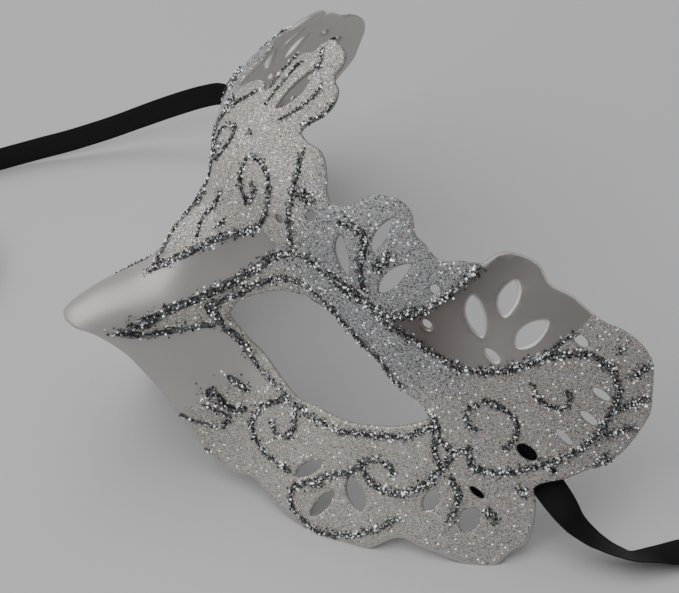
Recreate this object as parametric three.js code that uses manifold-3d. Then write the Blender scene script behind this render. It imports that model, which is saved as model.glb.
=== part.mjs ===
// A venetian eye mask: one thin moulded shell with a scrolled crest, two shaped eye openings and pierced
// leaves, and a ribbon tied to each side. Millimetres, +Z up. The mask stands on its four lower lobes,
// leaning back, and faces -Y. +X is the wearer's left. The origin is under the middle of the mask.
import * as THREE from 'three';
import { mergeVertices } from 'three/addons/utils/BufferGeometryUtils.js';
import Module from 'manifold-3d';

const wasm = await Module();
wasm.setup();

// The shell
const WALL = 1.6;
const LEAN = THREE.MathUtils.degToRad(24.6);
const SET_BACK = 23.7;
const EYE_LINE_HEIGHT = 55;
const EDGE_STEP = 2.4;
const REACH = 124;
const CHIN_LEVEL = -53;
const CROWN_LEVEL = 69;

// Turn of the wall away from straight across the face, in degrees, at each distance round the face
const TURN_ROUND_FACE = [
  [0, 14.6], [18, 23.2], [36, 31.7], [54, 42.4], [72, 51.4], [90, 58.3], [108, 67.2], [126, 77.7],
];
// How far the middle of the face stands forward at each height up the face
const PROFILE = [
  [-60, -11.8], [-40, -8.2], [-20, -6.3], [0, -4.3], [15, 1.3], [30, 6], [47, -0.9], [66, -10.8], [90, -30.8],
];
// How far the nose stands out from that, and half its width
const NOSE_HEIGHT = [
  [-60, 0], [-48, 8], [-34, 24], [-24, 36], [-19, 39], [-12, 33.1], [-4, 19.9], [6, 13.2], [18, 3], [32, 0],
  [90, 0],
];
const NOSE_HALF_WIDTH = [[-60, 30], [-48, 27], [-34, 23], [-20, 16.9], [-6, 15.7], [10, 14.1], [90, 14.1]];
const NOSE_ROUNDING = 4.8;
const NARROWING = -0.282;
const DEEPENING = 0.269;
const FLARE = 0.176;

// The ribbons
const RIBBON_WIDTH = 8;
const RIBBON_THICK = 1;
const COIL_OUTSIDE = 27.5;
const COIL_BAND = 6.5;
const COIL_SIDES = 36;
const TABLE_GAP = 0.1;
const LEFT_COIL = [69.5, 115];
const RIGHT_COIL = [-89.5, -80];
// The ribbon's glued end lies flat against the inside of the wall, behind two of the holes
const TAIL_FROM = [82.4, -18.8];
const TAIL_TO = [93.5, 0.6];
const TAIL_STEPS = 4;
const TAIL_WIDTH = 7;
const TAIL_DEPTH = 2.35;
const TAIL_THICK = 0.5;

const FLOOR_BLOCK = 400;

// A smooth curve through stations that never swings past them
function stationCurve(stations) {
  const at = stations.map(([place]) => place);
  const value = stations.map(([, height]) => height);
  const span = at.slice(1).map((place, i) => place - at[i]);
  const slope = span.map((width, i) => (value[i + 1] - value[i]) / width);
  const inner = slope.slice(1).map((after, i) => {
    const before = slope[i];
    if (before * after <= 0) return 0;
    const near = 2 * span[i + 1] + span[i];
    const far = span[i + 1] + 2 * span[i];
    return (near + far) / (near / before + far / after);
  });
  const last = slope.length - 1;
  const grade = [endGrade(span[0], span[1], slope[0], slope[1]), ...inner];
  grade.push(endGrade(span[last], span[last - 1], slope[last], slope[last - 1]));
  return (place) => {
    let i = 0;
    while (i < last && place > at[i + 1]) i += 1;
    const u = (place - at[i]) / span[i];
    const rise = u * u * (3 - 2 * u);
    const leave = u * (1 - u) * (1 - u) * span[i] * grade[i];
    const arrive = u * u * (u - 1) * span[i] * grade[i + 1];
    return value[i] + rise * (value[i + 1] - value[i]) + leave + arrive;
  };
}

function endGrade(span, nextSpan, slope, nextSlope) {
  const grade = ((2 * span + nextSpan) * slope - span * nextSlope) / (span + nextSpan);
  if (grade * slope <= 0) return 0;
  if (slope * nextSlope <= 0 && Math.abs(grade) > 3 * Math.abs(slope)) return 3 * slope;
  return grade;
}

const turnAt = stationCurve(TURN_ROUND_FACE);
const profileAt = stationCurve(PROFILE);
const noseHeightAt = stationCurve(NOSE_HEIGHT);
const noseHalfWidthAt = stationCurve(NOSE_HALF_WIDTH);

// Distance sideways and backwards after each step round the face
const STEP = 0.5;
const NEAR = 0.4;
const walk = [[0, 0]];
for (let i = 0; i < 2 * REACH + 8; i += 1) {
  const from = THREE.MathUtils.degToRad(turnAt(i * STEP));
  const to = THREE.MathUtils.degToRad(turnAt((i + 1) * STEP));
  const [side, back] = walk[i];
  walk.push([
    side + (STEP * (Math.cos(from) + Math.cos(to))) / 2,
    back + (STEP * (Math.sin(from) + Math.sin(to))) / 2,
  ]);
}

function walked(distance) {
  const i = Math.floor(distance / STEP);
  const part = distance / STEP - i;
  return [0, 1].map((k) => walk[i][k] * (1 - part) + walk[i + 1][k] * part);
}

// The outer face at a distance round the face from the middle line and a level up it from the eye line
function outerFace(round, level) {
  const [side, back] = walked(Math.abs(round));
  const x = Math.sign(round) * side * (1 + (NARROWING * level) / 100);
  const past = Math.sqrt(x * x + NOSE_ROUNDING * NOSE_ROUNDING) - NOSE_ROUNDING;
  const share = Math.min(past / noseHalfWidthAt(level), 1);
  const nose = noseHeightAt(level) * Math.cos((Math.PI * share) / 2) ** 2;
  const sweep = 1 + (DEEPENING * level) / 100 + (FLARE * level * level) / 10000;
  const forward = profileAt(level) - back * sweep + nose;
  return new THREE.Vector3(
    x,
    level * Math.sin(LEAN) - forward * Math.cos(LEAN) - SET_BACK,
    forward * Math.sin(LEAN) + level * Math.cos(LEAN) + EYE_LINE_HEIGHT,
  );
}

function outwardAt(round, level) {
  const sideways = outerFace(round + NEAR, level).sub(outerFace(round - NEAR, level));
  const upwards = outerFace(round, level + NEAR).sub(outerFace(round, level - NEAR));
  return sideways.cross(upwards).normalize();
}

// A point at a depth behind the outer face
function inShell(round, level, depth) {
  return outerFace(round, level).addScaledVector(outwardAt(round, level), -depth);
}

// The pattern's edge, right half, from the top of the crest down to under the nose: smooth runs that meet
// in sharp notches. The first and the last run cross the middle line.
const CREST = [[0, 65.5], [2.2, 65.4], [5.2, 64.1], [6.6, 61.8], [6.6, 59.9]];
const SIDE_RUNS = [
  [[6.6, 59.9], [8.2, 58.6], [10.4, 57.7], [11.8, 56.2], [12.8, 53.8], [12.6, 50.7], [10.9, 47.4], [11, 45.3]],
  [[11, 45.3], [14, 44.5], [17.8, 44.6], [21, 43.4], [25.1, 40.3], [27.1, 38.2], [29.9, 36.2]],
  [
    [29.9, 36.2], [32.1, 36.6], [34, 38.1], [35.1, 40.9], [37.2, 42.7], [40.4, 43.8], [43.4, 43.9], [46.9, 42.7],
    [49.3, 40.7], [51.6, 38.8], [54.7, 37.9], [59, 36.2], [61.6, 36.4], [63.7, 37.6], [68.4, 38.9],
  ],
  [
    [68.4, 38.9], [69.3, 41.9], [71.5, 43.3], [75.9, 43.5], [79.5, 42.6], [84.4, 39.8], [91.1, 38.7],
    [101.1, 35.3], [106.3, 34.6], [111.9, 32.9], [116.7, 30.2], [119.8, 26.4], [121.3, 19.3], [121.5, 14.9],
    [119.4, 9.6], [116.4, 4.5], [112.5, -0.1], [107.7, -3.2], [103.8, -6.2], [98.4, -9.2], [96.9, -11],
  ],
  [
    [96.9, -11], [99, -14.8], [100.1, -18.8], [100.3, -24.7], [97.1, -28.4], [94.7, -32.9], [90.8, -35],
    [84.7, -36.2], [79.4, -36.3], [74.3, -36.7], [69.8, -36.6], [66.9, -38.4],
  ],
];
const UNDER_NOSE = [
  [66.9, -38.4], [62.8, -43.3], [60.5, -44.6], [55.5, -46], [51, -48.3], [48, -49.2], [42.3, -48.6],
  [36.3, -47.7], [29.8, -45.6], [27.1, -46.1], [24.8, -47.4], [20.3, -47.3], [16.5, -44.3], [14.3, -37.8],
  [12.7, -31.6], [10.7, -25.5], [9.4, -22.3], [7.7, -19.7], [5.9, -18.7], [3.5, -19.1], [0, -19.2],
];

const UPPER_LID = [
  [14.5, -5.7], [14.7, -1.6], [17.5, 2.4], [21.4, 5.8], [27.5, 8.5], [32.1, 9.2], [36.6, 9.1], [43, 7.2],
  [49.5, 4.2], [56.5, -0.2], [62.9, -1.7], [66.9, -3.6],
];
const LOWER_LID = [
  [66.9, -3.6], [63.4, -7], [57.9, -10.7], [53.1, -13], [48.7, -14.8], [43.6, -15.9], [38.2, -16.5],
  [32.7, -17.3], [24.3, -14.2], [19, -11.7], [14.5, -5.7],
];

// Each pierced leaf: middle round the face, middle up it, length, width, slant in degrees
const LEAVES = [
  [38.6, 26.3, 10.1, 3.2, 114], [44.9, 35.4, 8.6, 2.7, 100], [52.3, 27.2, 11.9, 3.5, 63],
  [73.7, 26.9, 10, 4.3, 119], [78.7, 33.7, 8.7, 3.8, 110], [87.4, 27.3, 9.5, 4.4, 60],
  [41.8, -32.8, 9.8, 2.8, 57], [47.7, -39.4, 10.4, 2.6, 68], [55.1, -31.7, 8.8, 4.9, 125],
  [73.4, -23.8, 6.5, 3.4, 77], [84.1, -24.5, 7, 5, 75],
];
// Each small oval hole, in the same order of numbers
const OVALS = [
  [83.7, -17.1, 4.4, 1.6, 162], [92.1, -2.8, 5.9, 3.1, 163], [79.3, 18.6, 3.7, 2.1, 152],
  [99.6, 29.4, 4.4, 2.1, 156], [108.1, 25.1, 5.2, 1.8, 175], [107.9, 17.5, 5.3, 1.9, 161],
  [105.9, 10.6, 5.3, 2.1, 155], [100.2, 3.9, 5.5, 1.8, 152], [91.2, 21.9, 3.1, 1.5, 127],
  [44.6, 19, 2.4, 2.2, 0], [27.7, 31, 2.4, 2.2, 0], [62.7, 29.3, 2.4, 2.2, 0], [62.4, 19.7, 2.4, 2.2, 0],
  [19.8, 25.5, 2.1, 1.9, 0],
];
// The leaf on the middle line of the crest, in the same order of numbers
const CREST_LEAF = [0.8, 51.9, 11, 4.4, 88];

function mirrored(points) {
  return points.map(([round, level]) => [-round, level]).reverse();
}

function smoothRun(points) {
  const curve = new THREE.SplineCurve(points.map(([round, level]) => new THREE.Vector2(round, level)));
  const steps = Math.max(3, Math.round(curve.getLength() / EDGE_STEP));
  return curve.getSpacedPoints(steps).slice(0, -1);
}

function edgePoints() {
  const right = [
    [...mirrored(CREST).slice(0, -1), ...CREST],
    ...SIDE_RUNS,
    [...UNDER_NOSE.slice(0, -1), ...mirrored(UNDER_NOSE)],
  ];
  const left = SIDE_RUNS.map(mirrored).reverse();
  return [...right, ...left].flatMap(smoothRun).reverse();
}

function eyePoints(side) {
  const lids = side > 0 ? [UPPER_LID, LOWER_LID] : [mirrored(UPPER_LID), mirrored(LOWER_LID)];
  return lids.flatMap(smoothRun);
}

// A round-bodied outline, pointed at both ends where the sharpness is above nothing
function slot([round, level, long, wide, slant], side, count, sharpness) {
  const turn = THREE.MathUtils.degToRad(side > 0 ? slant : 180 - slant);
  const middle = new THREE.Vector2(side * round, level);
  return Array.from({ length: count }, (_, i) => {
    const angle = (2 * Math.PI * i) / count;
    const height = Math.sin(angle) * Math.abs(Math.sin(angle)) ** sharpness;
    const point = new THREE.Vector2((long / 2) * Math.cos(angle), (wide / 2) * height);
    return point.rotateAround(new THREE.Vector2(), turn).add(middle);
  });
}

function flatPattern() {
  const pattern = new THREE.Shape(edgePoints());
  const bothSides = (cut) => [1, -1].map(cut);
  const holes = [
    ...bothSides(eyePoints),
    ...LEAVES.flatMap((leaf) => bothSides((side) => slot(leaf, side, 12, 0.5))),
    ...OVALS.flatMap((oval) => bothSides((side) => slot(oval, side, 8, 0))),
    slot(CREST_LEAF, 1, 12, 0.5),
  ];
  pattern.holes = holes.map((points) => new THREE.Path(points));
  return pattern;
}

function solidOf(geometry) {
  geometry.deleteAttribute('normal');
  geometry.deleteAttribute('uv');
  const joined = mergeVertices(geometry, 1e-4);
  const index = Uint32Array.from(joined.index.array);
  const places = Float32Array.from(joined.attributes.position.array);
  return new wasm.Manifold(new wasm.Mesh({ numProp: 3, vertProperties: places, triVerts: index }));
}

function geometryOf(solid) {
  const mesh = solid.getMesh();
  const geometry = new THREE.BufferGeometry();
  geometry.setAttribute('position', new THREE.BufferAttribute(Float32Array.from(mesh.vertProperties), 3));
  geometry.setIndex(new THREE.BufferAttribute(Uint32Array.from(mesh.triVerts), 1));
  return geometry;
}

// The slab that the pattern is cut from is domed a little, so that no two of its small faces lie in one plane
const SLAB = 4;
const CUTTER = { from: -10, depth: 60 };
const CELLS_ROUND = 44;
const CELLS_UP = 22;
const dome = (round, level) => 0.0008 * round * round + 0.0015 * level * level;

function cutSlab() {
  const grid = new THREE.BoxGeometry(2, 2, 1, CELLS_ROUND, CELLS_UP, 1);
  const place = grid.attributes.position;
  for (let i = 0; i < place.count; i += 1) {
    const u = place.getX(i);
    const round = REACH * (0.5 * u + 0.5 * u * Math.abs(u));
    const level = THREE.MathUtils.mapLinear(place.getY(i), -1, 1, CHIN_LEVEL, CROWN_LEVEL);
    place.setXYZ(i, round, level, SLAB * (place.getZ(i) + 0.5) + dome(round, level));
  }
  const cutter = new THREE.ExtrudeGeometry(flatPattern(), { depth: CUTTER.depth, bevelEnabled: false });
  cutter.translate(0, 0, CUTTER.from);
  return geometryOf(solidOf(grid).intersect(solidOf(cutter)));
}

function maskGeometry() {
  const bent = cutSlab();
  const place = bent.attributes.position;
  for (let i = 0; i < place.count; i += 1) {
    const round = place.getX(i);
    const level = place.getY(i);
    const outer = place.getZ(i) - dome(round, level) > SLAB / 2;
    const point = inShell(round, level, outer ? 0 : WALL);
    place.setXYZ(i, point.x, point.y, point.z);
  }
  const underFloor = new THREE.BoxGeometry(FLOOR_BLOCK, FLOOR_BLOCK, FLOOR_BLOCK);
  underFloor.translate(0, 0, -FLOOR_BLOCK / 2);
  return geometryOf(solidOf(bent).subtract(solidOf(underFloor)));
}

// The ribbons' routes to their coils: each point, and the way that the ribbon's width points there. The left
// one comes out behind the notch over the outer lobe, turns over and lies flat on the table. The right one
// turns on its edge and sinks to the table in a long curve.
const LEFT_ROUTE = [
  { at: [65.2, 30.6, 35], width: [0.3, 0.92, 0.25] },
  { at: [68.1, 30.4, 27.2], width: [0.3, 0.92, 0.25] },
  { at: [70.6, 31.4, 21.9], width: [0.25, 0.93, 0.27] },
  { at: [73.9, 33.4, 17.2], width: [0.1, 0.94, 0.3] },
  { at: [78.2, 34.9, 13.8], width: [-0.15, 0.94, 0.22] },
  { at: [82.4, 35.9, 11.3], width: [-0.24, 0.95, -0.15] },
  { at: [84.6, 37, 9.8], width: [-0.28, 0.91, -0.3] },
  { at: [86.9, 38.6, 8.3], width: [-0.36, 0.85, -0.38] },
  { at: [88.6, 40.2, 7], width: [-0.42, 0.79, -0.45] },
  { at: [90.8, 42.1, 5.9], width: [-0.5, 0.71, -0.49] },
  { at: [92.9, 44.3, 5], width: [-0.61, 0.6, -0.52] },
  { at: [95, 46.9, 4.3], width: [-0.72, 0.42, -0.5] },
  { at: [96.4, 52.3, 3.5], width: [-0.86, 0.38, -0.3] },
  { at: [97.9, 58.2, 2.8], width: [-0.9, 0.4, 0] },
  { at: [98.6, 67, 1.5], width: [-0.98, 0.15, 0.1] },
  { at: [98.6, 77, 2], width: [-0.94, 0.05, 0.33] },
  { at: [98.4, 87, 3.7], width: [-0.55, 0, 0.83] },
  { at: [98, 97, 4.2], width: [-0.1, 0, 1] },
  { at: [97.8, 108, 4.2], width: [0, 0, 1] },
  { at: [97.8, LEFT_COIL[1], 4.2], width: [0, 0, 1] },
];
const RIGHT_ROUTE = [
  { at: [-65.2, 30.6, 35], width: [-0.3, 0.92, 0.25] },
  { at: [-68.1, 30.4, 27.2], width: [-0.3, 0.92, 0.25] },
  { at: [-70.6, 31.4, 21.9], width: [-0.25, 0.93, 0.27] },
  { at: [-73.9, 33.4, 17.2], width: [-0.1, 0.94, 0.3] },
  { at: [-80, 35, 15.2], width: [0, 0.92, 0.38] },
  { at: [-87.5, 34, 16.1], width: [0.05, 0.6, 0.8] },
  { at: [-94, 31.8, 16.7], width: [0, 0.2, 0.97] },
  { at: [-99.7, 28.2, 17], width: [0, 0, 1] },
  { at: [-101.7, 24.4, 16.4], width: [0, 0, 1] },
  { at: [-103.9, 19, 14.8], width: [0, 0, 1] },
  { at: [-106.6, 12.2, 12.3], width: [0, 0, 1] },
  { at: [-108.8, 5.8, 10], width: [0, 0, 1] },
  { at: [-110.4, -1.1, 8.2], width: [0, 0, 1] },
  { at: [-111.9, -7.9, 6.8], width: [0, 0, 1] },
  { at: [-113.3, -14.9, 5.7], width: [0, 0, 1] },
  { at: [-114.8, -22, 4.9], width: [0, 0, 1] },
  { at: [-115.8, -29, 4.4], width: [0, 0, 1] },
  { at: [-116.4, -35, 4.2], width: [0, 0, 1] },
  { at: [-117.2, -47, 4.2], width: [0, 0, 1] },
  { at: [-117.7, -60, 4.2], width: [0, 0, 1] },
  { at: [-117.8, -70, 4.2], width: [0, 0, 1] },
  { at: [-117.8, RIGHT_COIL[1], 4.2], width: [0, 0, 1] },
];
// A flat strip along a route, its width where each point says
function strip(places, widths, wide, thick) {
  const box = new THREE.BoxGeometry(places.length - 1, 1, 1, places.length - 1, 1, 1);
  const place = box.attributes.position;
  for (let i = 0; i < place.count; i += 1) {
    const k = Math.round(place.getX(i) + (places.length - 1) / 2);
    const before = places[Math.max(k - 1, 0)];
    const after = places[Math.min(k + 1, places.length - 1)];
    const along = after.clone().sub(before).normalize();
    const across = widths[k].clone().addScaledVector(along, -widths[k].dot(along)).normalize();
    const face = along.clone().cross(across);
    const point = places[k].clone();
    point.addScaledVector(across, place.getY(i) * wide);
    point.addScaledVector(face, place.getZ(i) * thick);
    place.setXYZ(i, point.x, point.y, point.z);
  }
  return geometryOf(solidOf(box));
}

function ribbonGeometry(route) {
  const places = route.map(({ at }) => new THREE.Vector3(...at));
  const widths = route.map(({ width }) => new THREE.Vector3(...width));
  return strip(places, widths, RIBBON_WIDTH, RIBBON_THICK);
}

function tailGeometry(side) {
  const shares = Array.from({ length: TAIL_STEPS + 1 }, (_, i) => i / TAIL_STEPS);
  const along = new THREE.Vector2(TAIL_TO[0] - TAIL_FROM[0], TAIL_TO[1] - TAIL_FROM[1]).normalize();
  const patternPlace = (share, shift) => [
    side * (THREE.MathUtils.lerp(TAIL_FROM[0], TAIL_TO[0], share) + shift * along.y),
    THREE.MathUtils.lerp(TAIL_FROM[1], TAIL_TO[1], share) - shift * along.x,
  ];
  const places = shares.map((share) => inShell(...patternPlace(share, 0), TAIL_DEPTH));
  const widths = shares.map((share) => {
    const edge = inShell(...patternPlace(share, side), TAIL_DEPTH);
    return edge.sub(inShell(...patternPlace(share, 0), TAIL_DEPTH));
  });
  return strip(places, widths, TAIL_WIDTH, TAIL_THICK);
}

function coilGeometry() {
  const inside = COIL_OUTSIDE - COIL_BAND;
  const profile = [
    new THREE.Vector2(inside, TABLE_GAP),
    new THREE.Vector2(COIL_OUTSIDE, TABLE_GAP),
    new THREE.Vector2(COIL_OUTSIDE, RIBBON_WIDTH + 2 * TABLE_GAP),
    new THREE.Vector2(inside, RIBBON_WIDTH + 2 * TABLE_GAP),
    new THREE.Vector2(inside, TABLE_GAP),
  ];
  const ring = new THREE.LatheGeometry(profile, COIL_SIDES);
  ring.rotateX(Math.PI / 2);
  return geometryOf(solidOf(ring));
}

const glitter = new THREE.MeshStandardMaterial({ color: 0xd9d6d8, roughness: 0.35, metalness: 0.25 });
const satin = new THREE.MeshStandardMaterial({ color: 0x0c0c10, roughness: 0.4, metalness: 0 });

function namedPiece(name, geometry, material) {
  const piece = new THREE.Mesh(geometry, material);
  piece.name = name;
  return piece;
}

function ribbonSet(name, route, side, [coilX, coilY]) {
  const set = new THREE.Group();
  const coil = namedPiece(`${name}_coil`, coilGeometry(), satin);
  coil.position.set(coilX, coilY, 0);
  set.add(
    namedPiece(name, ribbonGeometry(route), satin),
    namedPiece(`${name}_end`, tailGeometry(side), satin),
    coil,
  );
  return set;
}

const eyeMask = new THREE.Group();
eyeMask.add(
  namedPiece('mask', maskGeometry(), glitter),
  ribbonSet('ribbon_left', LEFT_ROUTE, 1, LEFT_COIL),
  ribbonSet('ribbon_right', RIGHT_ROUTE, -1, RIGHT_COIL),
);

export default eyeMask;
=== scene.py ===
# A venetian eye mask: a thin pearl shell with pierced leaves, raised silver glitter lines and fine
# glitter between them, and a black satin ribbon on each side. Metres in the scene, millimetres in the
# tables. Places on the mask are given on its pattern: distance round the face, and level up the face.
import math

import bpy
import numpy as np
from mathutils import Matrix, Vector


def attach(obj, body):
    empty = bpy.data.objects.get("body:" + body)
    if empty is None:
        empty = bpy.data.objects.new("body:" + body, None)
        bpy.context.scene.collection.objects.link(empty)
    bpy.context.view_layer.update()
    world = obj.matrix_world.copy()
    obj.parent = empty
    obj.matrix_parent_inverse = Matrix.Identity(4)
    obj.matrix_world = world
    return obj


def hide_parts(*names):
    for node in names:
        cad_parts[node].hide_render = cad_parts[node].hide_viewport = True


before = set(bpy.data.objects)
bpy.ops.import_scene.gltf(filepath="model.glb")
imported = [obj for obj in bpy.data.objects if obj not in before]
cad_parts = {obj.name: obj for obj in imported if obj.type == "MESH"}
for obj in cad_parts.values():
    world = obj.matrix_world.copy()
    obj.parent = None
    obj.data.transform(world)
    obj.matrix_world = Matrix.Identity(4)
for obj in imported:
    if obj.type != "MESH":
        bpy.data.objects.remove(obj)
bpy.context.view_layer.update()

MM = 0.001


# Camera, as the photograph was taken
LENS = 145.45
CAMERA_PLACE = (458.4, -227.0, 513.1)
CAMERA_ROUND = math.radians(62.237)
CAMERA_UP = math.radians(43.195)
CAMERA_ROLL = math.radians(0.425)


def place_camera():
    """The camera at its place, turned by its way round, its way up and its roll."""
    back = Vector((
        math.sin(CAMERA_ROUND) * math.cos(CAMERA_UP),
        -math.cos(CAMERA_ROUND) * math.cos(CAMERA_UP),
        math.sin(CAMERA_UP),
    ))
    level = Vector((math.cos(CAMERA_ROUND), math.sin(CAMERA_ROUND), 0))
    upright = back.cross(level)
    right = level * math.cos(CAMERA_ROLL) + upright * math.sin(CAMERA_ROLL)
    up = upright * math.cos(CAMERA_ROLL) - level * math.sin(CAMERA_ROLL)
    turn = Matrix((right, up, back)).transposed()
    bpy.ops.object.camera_add(
        location=Vector(CAMERA_PLACE) * MM, rotation=turn.to_euler()
    )
    camera = bpy.context.object
    camera.data.lens = LENS
    camera.data.sensor_fit = "HORIZONTAL"
    camera.data.sensor_width = 36
    bpy.context.scene.camera = camera


# Curves

def catmull(points, step):
    """Even steps along a smooth curve through the points."""
    points = np.array(points, float)
    padded = np.vstack([2 * points[0] - points[1], points, 2 * points[-1] - points[-2]])
    share = np.linspace(0, 1, 24, endpoint=False)[:, None]
    fine = []
    for a, b, c, d in zip(padded, padded[1:], padded[2:], padded[3:]):
        fine.append(0.5 * (
            2 * b + (c - a) * share + (2 * a - 5 * b + 4 * c - d) * share**2
            + (3 * b - 3 * c + d - a) * share**3
        ))
    fine = np.vstack([*fine, points[-1:]])
    return even_steps(fine, step)


def even_steps(line, step):
    """The same line, with points at even distances along it."""
    gone = np.r_[0, np.cumsum(np.linalg.norm(np.diff(line, axis=0), axis=1))]
    count = max(2, round(gone[-1] / step) + 1)
    at = np.linspace(0, gone[-1], count)
    return np.stack([np.interp(at, gone, line[:, k]) for k in range(line.shape[1])], 1)


def station_curve(stations):
    """A smooth curve through stations that never swings past them."""
    at, value = np.array(stations, float).T
    span = np.diff(at)
    slope = np.diff(value) / span
    grade = np.zeros(len(at))
    near = 2 * span[1:] + span[:-1]
    far = span[1:] + 2 * span[:-1]
    rising = slope[:-1] * slope[1:] > 0
    steep = np.where(rising, slope[:-1], 1), np.where(rising, slope[1:], 1)
    grade[1:-1] = np.where(rising, (near + far) / (near / steep[0] + far / steep[1]), 0)
    grade[0] = end_grade(span[0], span[1], slope[0], slope[1])
    grade[-1] = end_grade(span[-1], span[-2], slope[-1], slope[-2])

    def read(place):
        i = np.clip(np.searchsorted(at, place) - 1, 0, len(span) - 1)
        u = (place - at[i]) / span[i]
        leave = u * (1 - u) ** 2 * span[i] * grade[i]
        arrive = u * u * (u - 1) * span[i] * grade[i + 1]
        return value[i] + u * u * (3 - 2 * u) * (value[i + 1] - value[i]) + leave + arrive

    return read


def end_grade(span, next_span, slope, next_slope):
    """The steepness at a curve's end, held back so that the curve doesn't swing past its stations."""
    grade = ((2 * span + next_span) * slope - span * next_slope) / (span + next_span)
    if grade * slope <= 0:
        return 0
    if slope * next_slope <= 0 and abs(grade) > 3 * abs(slope):
        return 3 * slope
    return grade


# The shell's form, as in the CAD part
WALL = 1.6
LEAN = math.radians(24.6)
SET_BACK = 23.7
EYE_LINE_HEIGHT = 55
NOSE_ROUNDING = 4.8
NARROWING = -0.282
DEEPENING = 0.269
FLARE = 0.176
TURN_ROUND_FACE = (
    (0, 14.6), (18, 23.2), (36, 31.7), (54, 42.4), (72, 51.4), (90, 58.3), (108, 67.2), (126, 77.7),
)
PROFILE = (
    (-60, -11.8), (-40, -8.2), (-20, -6.3), (0, -4.3), (15, 1.3), (30, 6), (47, -0.9), (66, -10.8),
    (90, -30.8),
)
NOSE_HEIGHT = (
    (-60, 0), (-48, 8), (-34, 24), (-24, 36), (-19, 39), (-12, 33.1), (-4, 19.9), (6, 13.2), (18, 3),
    (32, 0), (90, 0),
)
NOSE_HALF_WIDTH = ((-60, 30), (-48, 27), (-34, 23), (-20, 16.9), (-6, 15.7), (10, 14.1), (90, 14.1))

turn_at = station_curve(TURN_ROUND_FACE)
profile_at = station_curve(PROFILE)
nose_height_at = station_curve(NOSE_HEIGHT)
nose_half_width_at = station_curve(NOSE_HALF_WIDTH)
BESIDE = 0.4
WALK_STEP = 0.5
walk_at = np.arange(0, 130, WALK_STEP)
walk_turn = np.radians(turn_at(walk_at))


def walked(steps):
    """How far the wall has gone by each place, from how much of each step goes that way."""
    return np.r_[0, np.cumsum((steps[1:] + steps[:-1]) / 2 * WALK_STEP)]


walk_side = walked(np.cos(walk_turn))
walk_back = walked(np.sin(walk_turn))


def outer_face(around, level):
    """Points on the outer face, in millimetres."""
    x = np.sign(around) * np.interp(np.abs(around), walk_at, walk_side)
    x = x * (1 + NARROWING * level / 100)
    back = np.interp(np.abs(around), walk_at, walk_back)
    past = np.sqrt(x * x + NOSE_ROUNDING**2) - NOSE_ROUNDING
    share = np.minimum(past / nose_half_width_at(level), 1)
    nose = nose_height_at(level) * np.cos(np.pi * share / 2) ** 2
    sweep = 1 + DEEPENING * level / 100 + FLARE * level * level / 10000
    forward = profile_at(level) - back * sweep + nose
    return np.stack([
        x,
        level * math.sin(LEAN) - forward * math.cos(LEAN) - SET_BACK,
        forward * math.sin(LEAN) + level * math.cos(LEAN) + EYE_LINE_HEIGHT,
    ], -1)


def outward_at(around, level):
    """The way out of the outer face, from places a little to each side."""
    sideways = outer_face(around + BESIDE, level) - outer_face(around - BESIDE, level)
    upwards = outer_face(around, level + BESIDE) - outer_face(around, level - BESIDE)
    way = np.cross(sideways, upwards)
    return way / np.linalg.norm(way, axis=-1, keepdims=True)


def on_shell(around, level, height=0.0):
    """Points that stand a height over the outer face."""
    return outer_face(around, level) + outward_at(around, level) * np.expand_dims(height, -1)


# The pattern's outline and openings, right half, from the top of the crest down to under the nose
CREST = ((0, 65.5), (2.2, 65.4), (5.2, 64.1), (6.6, 61.8), (6.6, 59.9))
SIDE_RUNS = (
    ((6.6, 59.9), (8.2, 58.6), (10.4, 57.7), (11.8, 56.2), (12.8, 53.8), (12.6, 50.7), (10.9, 47.4),
     (11, 45.3)),
    ((11, 45.3), (14, 44.5), (17.8, 44.6), (21, 43.4), (25.1, 40.3), (27.1, 38.2), (29.9, 36.2)),
    ((29.9, 36.2), (32.1, 36.6), (34, 38.1), (35.1, 40.9), (37.2, 42.7), (40.4, 43.8), (43.4, 43.9),
     (46.9, 42.7), (49.3, 40.7), (51.6, 38.8), (54.7, 37.9), (59, 36.2), (61.6, 36.4), (63.7, 37.6),
     (68.4, 38.9)),
    ((68.4, 38.9), (69.3, 41.9), (71.5, 43.3), (75.9, 43.5), (79.5, 42.6), (84.4, 39.8), (91.1, 38.7),
     (101.1, 35.3), (106.3, 34.6), (111.9, 32.9), (116.7, 30.2), (119.8, 26.4), (121.3, 19.3),
     (121.5, 14.9), (119.4, 9.6), (116.4, 4.5), (112.5, -0.1), (107.7, -3.2), (103.8, -6.2),
     (98.4, -9.2), (96.9, -11)),
    ((96.9, -11), (99, -14.8), (100.1, -18.8), (100.3, -24.7), (97.1, -28.4), (94.7, -32.9),
     (90.8, -35), (84.7, -36.2), (79.4, -36.3), (74.3, -36.7), (69.8, -36.6), (66.9, -38.4)),
)
UNDER_NOSE = (
    (66.9, -38.4), (62.8, -43.3), (60.5, -44.6), (55.5, -46), (51, -48.3), (48, -49.2), (42.3, -48.6),
    (36.3, -47.7), (29.8, -45.6), (27.1, -46.1), (24.8, -47.4), (20.3, -47.3), (16.5, -44.3),
    (14.3, -37.8), (12.7, -31.6), (10.7, -25.5), (9.4, -22.3), (7.7, -19.7), (5.9, -18.7),
    (3.5, -19.1), (0, -19.2),
)
UPPER_LID = (
    (14.5, -5.7), (14.7, -1.6), (17.5, 2.4), (21.4, 5.8), (27.5, 8.5), (32.1, 9.2), (36.6, 9.1),
    (43, 7.2), (49.5, 4.2), (56.5, -0.2), (62.9, -1.7), (66.9, -3.6),
)
LOWER_LID = (
    (66.9, -3.6), (63.4, -7), (57.9, -10.7), (53.1, -13), (48.7, -14.8), (43.6, -15.9), (38.2, -16.5),
    (32.7, -17.3), (24.3, -14.2), (19, -11.7), (14.5, -5.7),
)
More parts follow.
